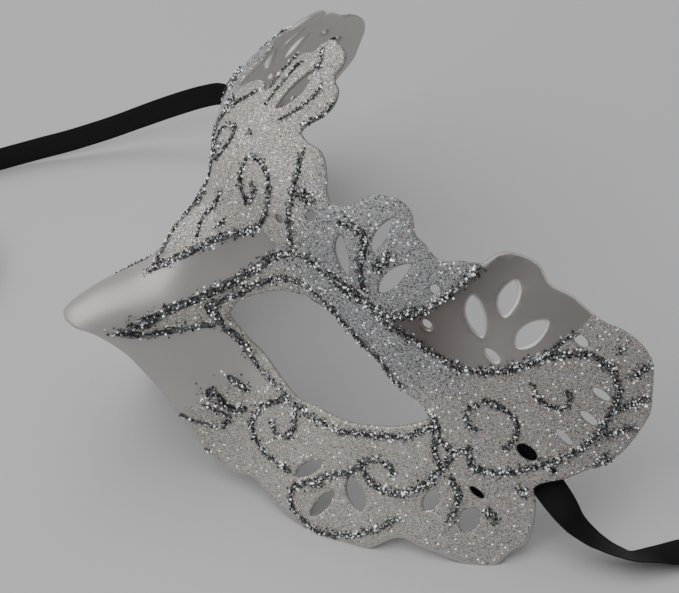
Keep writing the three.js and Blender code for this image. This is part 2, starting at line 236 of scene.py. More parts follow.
# Each pierced leaf and each small oval: middle round the face, middle up it, length, width, slant
LEAVES = (
    (38.6, 26.3, 10.1, 3.2, 114), (44.9, 35.4, 8.6, 2.7, 100), (52.3, 27.2, 11.9, 3.5, 63),
    (73.7, 26.9, 10, 4.3, 119), (78.7, 33.7, 8.7, 3.8, 110), (87.4, 27.3, 9.5, 4.4, 60),
    (41.8, -32.8, 9.8, 2.8, 57), (47.7, -39.4, 10.4, 2.6, 68), (55.1, -31.7, 8.8, 4.9, 125),
    (73.4, -23.8, 6.5, 3.4, 77), (84.1, -24.5, 7, 5, 75),
)
OVALS = (
    (83.7, -17.1, 4.4, 1.6, 162), (92.1, -2.8, 5.9, 3.1, 163), (79.3, 18.6, 3.7, 2.1, 152),
    (99.6, 29.4, 4.4, 2.1, 156), (108.1, 25.1, 5.2, 1.8, 175), (107.9, 17.5, 5.3, 1.9, 161),
    (105.9, 10.6, 5.3, 2.1, 155), (100.2, 3.9, 5.5, 1.8, 152), (91.2, 21.9, 3.1, 1.5, 127),
    (44.6, 19, 2.4, 2.2, 0), (27.7, 31, 2.4, 2.2, 0), (62.7, 29.3, 2.4, 2.2, 0),
    (62.4, 19.7, 2.4, 2.2, 0), (19.8, 25.5, 2.1, 1.9, 0),
)
CREST_LEAF = (0.8, 51.9, 11, 4.4, 88)
SLOT_POINTS = 28
LEAF_SHARPNESS = 0.5
OVAL_SHARPNESS = 0
EDGE_STEP = 0.8
# The rounded rim, as how far each loop is in from the edge, and how high it stands over the outer face
RIM = ((0, -WALL / 2), (0.25, -0.24), (0.65, 0))
# The square cells that the pattern is cut into, so that it can bend
CELL = 1.6
PATTERN_REACH = ((-122, 122), (-50, 66))
NEAR = 0.001


def mirrored(points):
    return [(-around, level) for around, level in reversed(points)]


def smooth_runs(runs):
    return np.vstack([catmull(run, EDGE_STEP)[:-1] for run in runs])


def edge_outline():
    """The whole outer edge, both halves of it."""
    top = [*mirrored(CREST)[:-1], *CREST]
    bottom = [*UNDER_NOSE[:-1], *mirrored(UNDER_NOSE)]
    left = [mirrored(run) for run in reversed(SIDE_RUNS)]
    return smooth_runs([top, *SIDE_RUNS, bottom, *left])


def eye_outline(side):
    lids = [UPPER_LID, LOWER_LID]
    if side < 0:
        lids = [mirrored(UPPER_LID), mirrored(LOWER_LID)]
    return smooth_runs(lids)


def slot_outline(slot, side, sharpness):
    """A pierced leaf, or an oval where its ends have no sharpness."""
    around, level, long, wide, slant = slot
    turn = math.radians(slant if side > 0 else 180 - slant)
    angle = np.linspace(0, 2 * math.pi, SLOT_POINTS, endpoint=False)
    u = long / 2 * np.cos(angle)
    v = wide / 2 * np.sin(angle) * np.abs(np.sin(angle)) ** sharpness
    return np.stack([
        side * around + u * math.cos(turn) - v * math.sin(turn),
        level + u * math.sin(turn) + v * math.cos(turn),
    ], 1)


def all_outlines():
    """The outer edge first, and then every opening."""
    outlines = [edge_outline(), eye_outline(1), eye_outline(-1)]
    outlines.append(slot_outline(CREST_LEAF, 1, LEAF_SHARPNESS))
    for side in (1, -1):
        outlines += [slot_outline(leaf, side, LEAF_SHARPNESS) for leaf in LEAVES]
        outlines += [slot_outline(oval, side, OVAL_SHARPNESS) for oval in OVALS]
    return outlines


# Meshes

def mesh_of(name, points, faces, unit=MM):
    mesh = bpy.data.meshes.new(name)
    mesh.from_pydata((np.vstack(points) * unit).tolist(), [], faces)
    piece = bpy.data.objects.new(name, mesh)
    bpy.context.collection.objects.link(piece)
    return piece


def choose(piece):
    bpy.ops.object.select_all(action="DESELECT")
    piece.select_set(True)
    bpy.context.view_layer.objects.active = piece


def points_of(piece):
    flat = np.empty(len(piece.data.vertices) * 3)
    piece.data.vertices.foreach_get("co", flat)
    return flat.reshape(-1, 3)


def numbers(items, what, count):
    """One whole number, or several, of each of a mesh's items."""
    found = np.empty(count, np.int32)
    items.foreach_get(what, found)
    return found


def move_points(piece, points):
    piece.data.vertices.foreach_set("co", np.asarray(points).ravel())
    piece.data.update()


def point_value(piece, name, kind, values):
    """A value at every point, for the piece's material to read."""
    made = piece.data.attributes.new(name, kind, "POINT")
    key = {"FLOAT": "value", "FLOAT_VECTOR": "vector", "FLOAT_COLOR": "color"}[kind]
    made.data.foreach_set(key, np.asarray(values, float).ravel())


def rim_loops(outline):
    """The outline and two loops beside it, where the rounded rim climbs from the middle of the wall."""
    way = np.roll(outline, -1, axis=0) - np.roll(outline, 1, axis=0)
    inwards = np.stack([-way[:, 1], way[:, 0]], 1)
    inwards /= np.linalg.norm(inwards, axis=1, keepdims=True)
    loops = []
    for inset, height in RIM:
        loop = outline + inwards * inset
        loops.append(np.column_stack([loop, np.full(len(loop), height)]))
    return loops


def turned(outline, widdershins):
    """The outline, run round the way that has the shell on its left."""
    around, level = outline.T
    area = (around * np.roll(level, -1) - np.roll(around, -1) * level).sum()
    return outline if (area > 0) == widdershins else outline[::-1]


def cut_pattern():
    """The flat pattern in millimetres, with its rim sunk to the middle of the wall."""
    curve = bpy.data.curves.new("mask_shell", "CURVE")
    curve.dimensions = "2D"
    curve.fill_mode = "FRONT"
    points = []
    faces = []
    count = 0
    for number, outline in enumerate(all_outlines()):
        loops = rim_loops(turned(outline, number == 0))
        inner = loops[-1]
        spline = curve.splines.new("POLY")
        spline.points.add(len(inner) - 1)
        spline.points.foreach_set("co", np.column_stack([inner, np.ones(len(inner))]).ravel())
        spline.use_cyclic_u = True
        k = np.arange(len(outline))
        after = np.roll(k, -1)
        for low in (count, count + len(k)):
            quads = np.stack([k, after, after + len(k), k + len(k)], 1) + low
            faces += quads.tolist()
        points += loops
        count += len(RIM) * len(k)
    shell = bpy.data.objects.new("mask_shell", curve)
    bpy.context.collection.objects.link(shell)
    rim = mesh_of("mask_rim", points, faces, 1)
    choose(shell)
    bpy.ops.object.convert(target="MESH")
    if shell.data.polygons[0].normal.z < 0:
        shell.data.flip_normals()
    rim.select_set(True)
    bpy.ops.object.join()
    bpy.ops.object.mode_set(mode="EDIT")
    bpy.ops.mesh.select_all(action="SELECT")
    bpy.ops.mesh.remove_doubles(threshold=0.002)
    return shell


def cut_cells(shell):
    """Cuts the pattern into small cells, so that it can bend."""
    for way, reach in (((1, 0, 0), PATTERN_REACH[0]), ((0, 1, 0), PATTERN_REACH[1])):
        for place in np.arange(*reach, CELL):
            bpy.ops.mesh.select_all(action="SELECT")
            bpy.ops.mesh.bisect(plane_co=Vector(way) * float(place), plane_no=way)


def join_slivers(shell):
    """Leaves one face in each cell, where the filled curve had many thin triangles."""
    bpy.ops.mesh.select_mode(type="EDGE")
    bpy.ops.mesh.select_all(action="DESELECT")
    bpy.ops.object.mode_set(mode="OBJECT")
    mesh = shell.data
    flat = points_of(shell)
    ends = numbers(mesh.edges, "vertices", len(mesh.edges) * 2).reshape(-1, 2)
    corner_point = numbers(mesh.loops, "vertex_index", len(mesh.loops))
    corner_edge = numbers(mesh.loops, "edge_index", len(mesh.loops))
    starts = numbers(mesh.polygons, "loop_start", len(mesh.polygons))
    sunk = np.minimum.reduceat(flat[corner_point, 2], starts) < -NEAR
    on_rim = np.zeros(len(ends), bool)
    on_rim[corner_edge[np.repeat(sunk, np.diff(np.r_[starts, len(corner_edge)]))]] = True
    spare = ~on_rim
    for axis, (first, _) in enumerate(PATTERN_REACH):
        cell = (flat[ends, axis] - first) / CELL
        on_cut = np.abs(cell - np.round(cell)).max(1) < NEAR
        spare &= ~(on_cut & (np.abs(cell[:, 0] - cell[:, 1]) < NEAR))
    mesh.edges.foreach_set("select", spare)
    bpy.ops.object.mode_set(mode="EDIT")
    bpy.ops.mesh.dissolve_edges(use_verts=True)


def close_back(shell):
    """The inner face is the outer one, turned over about the middle of the wall."""
    bpy.ops.mesh.select_all(action="SELECT")
    bpy.ops.mesh.duplicate()
    bpy.ops.transform.resize(value=(1, 1, -1), center_override=(0, 0, -WALL / 2))
    bpy.ops.mesh.flip_normals()
    bpy.ops.mesh.select_all(action="SELECT")
    bpy.ops.mesh.remove_doubles(threshold=0.0005)
    bpy.ops.object.mode_set(mode="OBJECT")


def make_shell():
    """The mask's shell, bent from its flat pattern and cut level where it stands."""
    shell = cut_pattern()
    cut_cells(shell)
    join_slivers(shell)
    close_back(shell)
    flat = points_of(shell)
    around, level, height = flat.T
    move_points(shell, on_shell(around, level, height) * MM)
    point_value(shell, "pattern", "FLOAT_VECTOR", flat)
    point_value(shell, "glitter", "FLOAT", glitter_cover(around, level, height))
    point_value(shell, "tint", "FLOAT_COLOR", glitter_tint(around, level))
    # Painted shade and light on the bare pearl, for its material to multiply by
    point_value(shell, "bare_shade", "FLOAT_COLOR", bare_shade(around, level, height))
    bpy.ops.object.mode_set(mode="EDIT")
    bpy.ops.mesh.select_all(action="SELECT")
    bpy.ops.mesh.bisect(
        plane_co=(0, 0, 0), plane_no=(0, 0, 1), threshold=0.000001, clear_inner=True, use_fill=True
    )
    bpy.ops.object.mode_set(mode="OBJECT")
    shell.data.shade_smooth()
    return shell


# Where the shell is bare pearl, without glitter
BARE_NOSE = (
    (0, -3.4), (1.5, 0.1), (4.2, 4.5), (5.8, 8.8), (7.6, 12.2), (9.4, 14.7), (11.8, 17.5), (14.7, 20.7),
    (21.1, 16.3), (18, 13.2), (15.3, 8.6), (13.5, 4.9), (12.1, 1.1), (11, -2), (10, -4.6), (9.4, -8.9),
    (9.1, -13.5), (8, -17.1), (9.9, -16.1), (11, -13.9), (12.7, -10.7), (14.5, -8.7), (17.5, -12.2),
    (20.1, -16.2), (24, -18), (24, -21), (20.5, -23), (18, -26), (16.5, -31), (14.5, -36.5), (10, -36),
    (0, -30), (-1, -12),
)
BARE_TEMPLE = (
    (51, 16.5), (55.4, 19.1), (62.6, 24.7), (66.9, 31.2), (68.2, 36.6), (67.8, 38.5), (68.5, 46),
    (98, 46), (98, 33), (97.1, 30.8), (95.3, 28.6), (93.4, 25.3), (90.3, 21.8), (86.7, 18.8),
    (82.5, 16.1), (78.3, 14.1), (73.8, 12.6), (69.2, 12.1), (65.1, 13.3), (60.9, 13.7), (56.7, 14.7),
)
# Along the lower edge the glitter stops this far short of it
BARE_EDGE = 1.1
LOWER_EDGE_LEVEL = -14
BARE_FADE = 1.6
RIM_BOTTOM = -0.5


def inside(corners, around, level):
    """How far each place is inside a closed line, in millimetres, or less than nothing outside it."""
    corners = np.array(corners, float)
    nearest = np.full(around.shape, 1e9)
    within = np.zeros(around.shape, bool)
    for (ax, ay), (bx, by) in zip(corners, np.roll(corners, -1, axis=0)):
        long = (bx - ax) ** 2 + (by - ay) ** 2
        share = np.clip(((around - ax) * (bx - ax) + (level - ay) * (by - ay)) / long, 0, 1)
        gap = np.hypot(around - ax - share * (bx - ax), level - ay - share * (by - ay))
        nearest = np.minimum(nearest, gap)
        if ay != by:
            crosses = (ay > level) != (by > level)
            within ^= crosses & (around < (bx - ax) * (level - ay) / (by - ay) + ax)
    return np.where(within, nearest, -nearest)


def fade(value, start, end):
    """0 at the start, 1 at the end, and even in between."""
    return np.clip((value - start) / (end - start), 0, 1)


def glitter_cover(around, level, height):
    """How much fine glitter lies at each place. The inner face has none."""
    side = np.abs(around)
    bare = np.maximum(inside(BARE_NOSE, side, level), inside(BARE_TEMPLE, side, level))
    low_edge = BARE_EDGE - inside(edge_outline(), side, level)
    bare = np.where(level < LOWER_EDGE_LEVEL, np.maximum(bare, low_edge), bare)
    cover = np.clip(0.5 - bare / BARE_FADE, 0, 1)
    return cover * (height > RIM_BOTTOM)


CREAM = np.array((0.567, 0.523, 0.463, 1))
SILVER_BLUE = np.array((0.402, 0.393, 0.397, 1))
ROSE = np.array((0.535, 0.477, 0.438, 1))


def glitter_tint(around, level):
    """Cream in the middle and below, blue-silver over the eyes and rose towards the temples."""
    side = np.abs(around)
    blue = fade(side, 18, 30) * fade(level, -4, 6) * fade(side, 78, 66)
    rose = fade(side, 66, 82)
    tint = CREAM + rose[:, None] * (ROSE - CREAM)
    return tint + blue[:, None] * (SILVER_BLUE - tint)


# Painted shade: the bare pearl is darkened towards this grey at the temples and the inner brow, where the
# wall faces away from the lamps
PAINTED_TEMPLE_SHADE = np.array((0.56, 0.542, 0.538, 1))
# Painted light: the inner face is made this much lighter
INSIDE_PAINTED_LIGHT = 1.27
# Under the outer face, the rim starts at the first height and the inner face at the second
RIM_TOP = -0.1
INSIDE_HEIGHT = -1.2


def bare_shade(around, level, height):
    """Painted shade and light that the pearl is multiplied by: shade at the temples, inner brow and rim,
    light on the temples' rim and on the inner face.
    """
    side = np.abs(around)
    temple = fade(inside(BARE_TEMPLE, side, level), -3, 0)
    brow = fade(level, -2, 18) * fade(side, 26, 20)
    share = np.maximum(temple * (0.66 + fade(side, 80, 62)), brow * 0.8)[:, None]
    shade = 1 + share * (PAINTED_TEMPLE_SHADE - 1)
    # Painted light along the temples' rim, and a little painted shade along the rest of the rim
    shade *= np.where(height < RIM_TOP, 0.9 + temple * 1.3, 1)[:, None]
    # The inner face gets painted light instead
    return np.where(height[:, None] < INSIDE_HEIGHT, INSIDE_PAINTED_LIGHT, shade)


# The silver lines, each with its width, drawn on the pattern's right half and repeated on the left
SILVER_LINES = (
    (2.2, ((8, -17.1), (8.8, -15.7), (9.1, -13.5), (9.4, -8.9), (10, -4.6), (12.1, 1.1), (13.5, 4.9),
     (15.3, 8.6), (18, 13.2), (21.1, 16.3), (27.9, 20.4), (36, 19.4), (42.4, 17.6), (47.4, 17.8),
     (51.9, 15.3), (56.7, 14.7), (65.1, 13.3), (69.2, 12.1), (73.8, 12.6), (78.3, 14.1), (82.5, 16.1),
     (86.7, 18.8), (90.3, 21.8), (93.9, 23.9), (99.6, 26.4), (105.6, 26.3), (109.8, 23.5), (111.8, 19),
     (110.7, 13), (108, 7), (105.1, 3), (101.3, -0.9), (98.3, -4.1))),
    (1.6, ((8, -17.1), (9.9, -16.1), (11, -13.9), (12.7, -10.7), (14.5, -8.7))),
    (1.7, ((14.5, -8.7), (12.2, -5.1), (12.8, -2.3), (14.2, 0.8), (15.9, 4.4), (21, 9.6), (28.5, 12.7),
     (36.5, 11), (46.3, 6.1), (50.7, 4.8), (54.1, 1.7), (58, 0.6))),
    (1.8, ((14.5, -8.7), (17.5, -12.2), (20.1, -16.2), (24.4, -17.4), (29.4, -18.5), (36.7, -19.2),
     (45.6, -18.6), (53.3, -15.4), (61, -11.7), (64.2, -9.3), (68.3, -4.6))),
    (2.2, ((66.1, -2.2), (68.6, -5), (70.2, -8.1), (73.8, -9.2), (74.1, -12.2), (72.6, -16.8),
     (70.6, -20.5), (66.4, -25.3), (63.1, -26.5))),
    (1.7, ((33.4, -19.2), (29.1, -21), (25.7, -25.3), (24.4, -29.8), (24.6, -32.5), (26.7, -35.1),
     (30.2, -36.5), (37.8, -36.2))),
    (1.9, ((33.4, -19.2), (34.6, -22.9), (34.9, -25.6), (33.6, -28.8), (30.9, -29.6), (29.6, -27.6))),
    (2.2, ((17.7, -21.9), (18.6, -23), (20.7, -24.4))),
    (2.5, ((17, -26.6), (18.4, -29), (20.9, -30), (22.1, -28.3))),
    (1.4, ((17.2, -31.2), (19.1, -32.1), (20.9, -31.8))),
    (1.2, ((14.5, -36.3), (16, -36.9), (18.1, -36.7), (20, -35.9), (20.9, -33))),
    (1.2, ((17.5, -45), (18.5, -45))),
    (2.0, ((39.2, -42.1), (39.9, -39.2), (43.3, -35.7), (47.3, -30.8), (50.8, -28), (53.3, -25.4),
     (54.2, -23.2), (56, -20.8), (59, -19.9), (61.7, -20.6), (62.2, -22.1))),
    (2.0, ((54.7, -23.9), (57.8, -26.6), (61.2, -26.9), (64, -25.9), (67.7, -24), (70.3, -21.1),
     (72.3, -17.5), (72.8, -14.5), (70.2, -11.4), (68.7, -5.8))),
    (1.7, ((39.2, -42.1), (40.8, -44.9), (43.4, -46.1), (49.1, -46.7), (52.5, -44.7), (58.2, -41.7),
     (61.1, -38.6), (63.7, -36.5), (65.4, -33.5), (67.5, -31.8))),
    (2.4, ((43.4, -35.9), (46.3, -34.2))),
    (1.7, ((78.8, -1.7), (76, -1.5), (74.9, 0.8), (76.4, 4.1), (79.7, 6.5), (83.7, 6.2), (87, 4.3),
     (88.1, 1), (87.3, -2), (86.3, -4.2))),
    (1.6, ((89.8, 15.2), (91.7, 12.7), (94.5, 11), (97.1, 10.7), (99.7, 12.3), (100, 15), (98.5, 16.3))),
    (2.2, ((73.8, -9.2), (78.3, -7.8), (79.3, -10.6), (82.6, -11.2), (87.3, -9.9), (92, -7.5),
     (97.1, -3.8), (100.2, -5.4))),
    (1.5, ((90.3, 21.8), (93.4, 25.3), (95.3, 28.6), (97.1, 30.8))),
    (2.2, ((110.6, 13), (114, 16), (117.3, 18), (120.4, 19.3))),
    (1.7, ((109.4, 6.9), (113.1, 9.1), (118.8, 11.7))),
    (2.4, ((108.8, -0.1), (113, 2.1))),
    (2.6, ((117.7, 27.8), (115.9, 25.6), (114.3, 23.2))),
    (2.4, ((109, 30.3), (110, 30.3))),
    (2.2, ((76.1, -16), (79.1, -19.2), (79.7, -22.8), (79.1, -27))),
    (2.4, ((87.2, -20.4), (90.8, -21.6))),
    (2.4, ((92.3, -11.9), (95.5, -13.2))),
    (2.4, ((36, 19.4), (42.3, 19.1), (48.8, 17.4), (55.4, 19.1), (62.6, 24.7), (66.9, 31.2),
     (68.2, 36.6), (67.8, 38.2))),
    (1.7, ((24.4, 20.9), (23, 25.9), (21.6, 30.7), (19, 36.3), (16.3, 40.4), (14.3, 43.2))),
    (2.2, ((0, -3.4), (1.5, 0.1), (4.2, 4.5), (5.8, 8.8), (7.6, 12.2), (9.4, 14.7), (11.8, 17.5),
     (14.7, 20.7))),
    (1.5, ((14.7, 20.7), (15.7, 24.3), (15.8, 28.6), (13.9, 32), (10.5, 34.6), (6, 35.2), (4.7, 32.6),
     (6.1, 28.3), (9.2, 25.3), (10.9, 24.9), (10.9, 28.4), (9, 29.5))),
    (1.4, ((6, 16.8), (4.9, 13.3))),
    (1.0, ((5.9, 56.6), (6.7, 54.7), (5.9, 49.7), (4.6, 46), (3.9, 44.7))),
    (1.4, ((12.1, 55.6), (11.9, 51.1), (9.8, 46.8))),
    (2.3, ((33.9, 33.4), (37.4, 34), (41.5, 33.5), (43.4, 30.7), (43.7, 26.7), (44.6, 23), (45.8, 21))),
    (2.8, ((47.6, 27.6), (49, 30.3), (49.8, 32))),
    (3.0, ((20.1, 34.7), (23.1, 34.5), (26, 34.1))),
)
MIDDLE_LINES = (
    (1.3, ((3.5, 9.8), (1, 13.9), (1.9, 22.3))),
    (1.4, ((-0.2, 38.8), (0.8, 38.8))),
    (1.8, ((-3.1, 62.2), (0.3, 60.4), (1.4, 58.7))),
)
LINE_HEIGHT = 0.42
LINE_STEP = 0.7
BED_SHARE = 0.8
BED_ROUGHNESS = 0.07
GRAIN = 0.3
GRAIN_SPREAD = 0.78
GRAINS_PER_SQUARE_MM = 6.1


def grain_shape():
    """One flat-sided grain of glitter, a unit across, from a primitive with its ends pressed in."""
    bpy.ops.object.select_all(action="DESELECT")
    bpy.ops.mesh.primitive_cone_add(vertices=5, radius1=1, radius2=0.65, depth=0.7)
    grain = bpy.context.object
    points = points_of(grain)
    grain.data.calc_loop_triangles()
    faces = np.array([tri.vertices for tri in grain.data.loop_triangles])
    bpy.data.objects.remove(grain)
    return points, faces


def random_turns(random, count):
    """Turns any way at all, as matrices, from random quaternions."""
    turn = random.normal(size=(count, 4))
    w, x, y, z = (turn / np.linalg.norm(turn, axis=1, keepdims=True)).T
    return np.stack([
        1 - 2 * (y * y + z * z), 2 * (x * y - z * w), 2 * (x * z + y * w),
        2 * (x * y + z * w), 1 - 2 * (x * x + z * z), 2 * (y * z - x * w),
        2 * (x * z - y * w), 2 * (y * z + x * w), 1 - 2 * (x * x + y * y),
    ], 1).reshape(-1, 3, 3)


def line_bed(line, half):
    """A low rounded ridge of glue along a line, under its grains."""
    along = np.gradient(line, axis=0)
    along /= np.linalg.norm(along, axis=1, keepdims=True)
    across = np.stack([-along[:, 1], along[:, 0]], 1)
    from_start = np.arange(len(line))
    taper = np.sqrt(np.clip(np.minimum(from_start, from_start[::-1]) / 2, 0.15, 1))
    shape = ((-1, -0.15), (-0.6, 0.72), (0, 1), (0.6, 0.72), (1, -0.15), (0, -0.3))
    rings = []
    for over, up in shape:
        place = line + across * (over * half * taper)[:, None]
        rings.append(on_shell(place[:, 0], place[:, 1], up * LINE_HEIGHT * taper))
    return np.stack(rings, 1)


def tube_faces(rows, ring, start=0):
    """Faces round a tube of rings, and one that closes each end."""
    row, k = np.meshgrid(np.arange(rows - 1), np.arange(ring), indexing="ij")
    after = (k + 1) % ring
    near = row * ring + start
    quads = np.stack([near + ring + k, near + ring + after, near + after, near + k], -1)
    faces = quads.reshape(-1, 4).tolist()
    faces.append((np.arange(ring) + start).tolist())
    faces.append((np.arange(ring)[::-1] + (rows - 1) * ring + start).tolist())
    return faces


def scatter_grains(random, line, wide, unit):
    """The points of each grain along a line, most of them near its middle."""
    half = wide / 2
    gone = np.r_[0, np.cumsum(np.linalg.norm(np.diff(line, axis=0), axis=1))]
    count = round((gone[-1] + half) * wide * GRAINS_PER_SQUARE_MM)
    at = random.uniform(0, gone[-1], count)
    place = np.stack([np.interp(at, gone, line[:, k]) for k in range(2)], 1)
    angle = random.uniform(0, 2 * math.pi, count)
    reach = half * np.minimum(np.abs(random.normal(0, GRAIN_SPREAD, count)), 1.6)
    place += np.stack([np.cos(angle), np.sin(angle)], 1) * reach[:, None]
    height = LINE_HEIGHT * np.maximum(1 - (reach / half) ** 2 * 0.8, 0.2)
    height += random.uniform(-0.1, 0.22, count)
    middle = on_shell(place[:, 0], place[:, 1], height)
    size = random.uniform(0.7, 1.25, count) * GRAIN
    turned_grains = np.einsum("nij,kj->nki", random_turns(random, count), unit)
    return turned_grains * size[:, None, None] + middle[:, None]


def make_silver(name, side, lines, seed):
    """One half's silver lines: a bed of glue along each, set with single grains."""
    random = np.random.default_rng(seed)
    unit, unit_faces = grain_shape()
    points = []
    faces = []
    tones = []
    count = 0
    for wide, stroke in lines:
        line = catmull([(side * around, level) for around, level in stroke], LINE_STEP)
        bed = line_bed(line, wide / 2 * BED_SHARE)
        bed += random.normal(0, BED_ROUGHNESS, bed.shape)
        rings, ring = bed.shape[:2]
        faces += tube_faces(rings, ring, count)
        points.append(bed.reshape(-1, 3))
        tones.append(random.uniform(0.2, 0.62, rings * ring))
        count += rings * ring
        grains = scatter_grains(random, line, wide, unit)
        points.append(grains.reshape(-1, 3))
        starts = count + np.arange(len(grains)) * len(unit)
        faces += (unit_faces[None] + starts[:, None, None]).reshape(-1, 3).tolist()
        tones.append(np.repeat(random.uniform(0, 1, len(grains)), len(unit)))
        count += len(grains) * len(unit)
    points = np.vstack(points)
    points[:, 2] = np.maximum(points[:, 2], 0)
    silver = mesh_of(name, [points], faces)
    point_value(silver, "tone", "FLOAT", np.concatenate(tones))
    silver.data.shade_flat()
    return silver


# The ribbons: each point of the route, and the way that the ribbon's width points there
LEFT_COIL = (69.5, 115)
RIGHT_COIL = (-89.5, -80)
LEFT_ROUTE = (
    ((65.2, 30.6, 35), (0.3, 0.92, 0.25)), ((68.1, 30.4, 27.2), (0.3, 0.92, 0.25)),
    ((70.6, 31.4, 21.9), (0.25, 0.93, 0.27)), ((73.9, 33.4, 17.2), (0.1, 0.94, 0.3)),
    ((78.2, 34.9, 13.8), (-0.15, 0.94, 0.22)), ((82.4, 35.9, 11.3), (-0.24, 0.95, -0.15)),
    ((84.6, 37, 9.8), (-0.28, 0.91, -0.3)), ((86.9, 38.6, 8.3), (-0.36, 0.85, -0.38)),
    ((88.6, 40.2, 7), (-0.42, 0.79, -0.45)), ((90.8, 42.1, 5.9), (-0.5, 0.71, -0.49)),
    ((92.9, 44.3, 5), (-0.61, 0.6, -0.52)), ((95, 46.9, 4.3), (-0.72, 0.42, -0.5)),
    ((96.4, 52.3, 3.5), (-0.86, 0.38, -0.3)), ((97.9, 58.2, 2.8), (-0.9, 0.4, 0)),
    ((98.6, 67, 1.5), (-0.98, 0.15, 0.1)), ((98.6, 77, 2), (-0.94, 0.05, 0.33)),
    ((98.4, 87, 3.7), (-0.55, 0, 0.83)), ((98, 97, 4.2), (-0.1, 0, 1)),
    ((97.8, 108, 4.2), (0, 0, 1)), ((97.8, 115, 4.2), (0, 0, 1)),
)
RIGHT_ROUTE = (
    ((-65.2, 30.6, 35), (-0.3, 0.92, 0.25)), ((-68.1, 30.4, 27.2), (-0.3, 0.92, 0.25)),
    ((-70.6, 31.4, 21.9), (-0.25, 0.93, 0.27)), ((-73.9, 33.4, 17.2), (-0.1, 0.94, 0.3)),
    ((-80, 35, 15.2), (0, 0.92, 0.38)), ((-87.5, 34, 16.1), (0.05, 0.6, 0.8)),
    ((-94, 31.8, 16.7), (0, 0.2, 0.97)), ((-99.7, 28.2, 17), (0, 0, 1)),
    ((-101.7, 24.4, 16.4), (0, 0, 1)), ((-103.9, 19, 14.8), (0, 0, 1)),
    ((-106.6, 12.2, 12.3), (0, 0, 1)), ((-108.8, 5.8, 10), (0, 0, 1)),
    ((-110.4, -1.1, 8.2), (0, 0, 1)), ((-111.9, -7.9, 6.8), (0, 0, 1)),
    ((-113.3, -14.9, 5.7), (0, 0, 1)), ((-114.8, -22, 4.9), (0, 0, 1)),
    ((-115.8, -29, 4.4), (0, 0, 1)), ((-116.4, -35, 4.2), (0, 0, 1)),
    ((-117.2, -47, 4.2), (0, 0, 1)), ((-117.7, -60, 4.2), (0, 0, 1)),
    ((-117.8, -70, 4.2), (0, 0, 1)), ((-117.8, -80, 4.2), (0, 0, 1)),
)
RIBBON_LENGTH = 400
RIBBON_WIDTH = 8
RIBBON_THICK = 0.32
COIL_RADIUS = 28.3
COIL_PITCH = 3.3
COIL_LEVEL = 4.2
TURN_STEP = 0.002
ROUTE_STEP = 0.5
RIBBON_STEP = 1.4
# The upper half of the ribbon's section, as shares of half its width and half its thickness
STRIP_TOP = (
    (-1, 0.45), (-0.97, 0.95), (-0.9, 1), (-0.86, 0.7), (-0.5, 0.72), (0, 0.75), (0.5, 0.72),
    (0.86, 0.7), (0.9, 1), (0.97, 0.95), (1, 0.45),
)
# The glued end's two ends and the way across it, on the pattern, and its depth under the outer face
TAB_FROM = (82.4, -18.8)
TAB_TO = (93.5, 0.6)
TAB_ACROSS = (0.87, -0.5)
TAB_DEPTH = 2.35
TAB_WIDTH = 7
TAB_THICK = 0.5
TAB_STEPS = 16


def ribbon_path(route, coil, first_angle):
    """Centres and widths along the route, and then round the coil until the ribbon's length is used."""
    stations = np.array([(*at, *width) for at, width in route])
    line = catmull(stations, ROUTE_STEP)
    gone = np.r_[0, np.cumsum(np.linalg.norm(np.diff(line[:, :3], axis=0), axis=1))]
    at = np.linspace(0, gone[-1], round(gone[-1] / RIBBON_STEP))
    line = np.stack([np.interp(at, gone, line[:, k]) for k in range(6)], 1)
    left = RIBBON_LENGTH - gone[-1]
    turns = np.arange(1, 2000) * TURN_STEP
    radius = COIL_RADIUS - COIL_PITCH * turns
    angle = first_angle + 2 * math.pi * turns
    spiral = np.stack([
        coil[0] + radius * np.cos(angle), coil[1] + radius * np.sin(angle), np.full(len(turns), COIL_LEVEL),
    ], 1)
    run = np.cumsum(np.linalg.norm(np.diff(spiral, axis=0, prepend=line[-1:, :3]), axis=1))
    picks = np.searchsorted(run, np.arange(RIBBON_STEP, left, RIBBON_STEP))
    wound = np.hstack([spiral[picks], np.tile((0, 0, 1), (len(picks), 1))])
    return np.vstack([line, wound])


def make_strip(name, line, wide, thick):
    """A satin strip, thin between two slightly thicker woven edges."""
    centre = line[:, :3]
    along = np.gradient(centre, axis=0)
    along /= np.linalg.norm(along, axis=1, keepdims=True)
    across = line[:, 3:] - along * (line[:, 3:] * along).sum(1, keepdims=True)
    across /= np.linalg.norm(across, axis=1, keepdims=True)
    face = np.cross(along, across)
    section = [*STRIP_TOP, *[(over, -up) for over, up in reversed(STRIP_TOP)]]
    rings = [
        centre + across * (over * wide / 2) + face * (up * thick / 2) for over, up in section
    ]
    points = np.stack(rings, 1).reshape(-1, 3)
    piece = mesh_of(name, [points], tube_faces(len(line), len(section)))
    gone = np.r_[0, np.cumsum(np.linalg.norm(np.diff(centre, axis=0), axis=1))]
    over = np.array([over for over, _ in section]) * wide / 2
    woven = np.stack([np.tile(over, len(line)), np.repeat(gone, len(section)), np.zeros(len(points))], 1)
    point_value(piece, "weave", "FLOAT_VECTOR", woven)
    piece.data.shade_smooth()
    return piece


def make_tab(name, side):
    """The ribbon's glued end, flat on the inside of the wall."""
    around = side * np.linspace(TAB_FROM[0], TAB_TO[0], TAB_STEPS)
    level = np.linspace(TAB_FROM[1], TAB_TO[1], TAB_STEPS)
    depth = np.full(TAB_STEPS, -TAB_DEPTH)
    centre = on_shell(around, level, depth)
    beside = on_shell(around + side * TAB_ACROSS[0], level + TAB_ACROSS[1], depth)
    return make_strip(name, np.hstack([centre, beside - centre]), TAB_WIDTH, TAB_THICK)


# Shader values that can be added, multiplied and so on

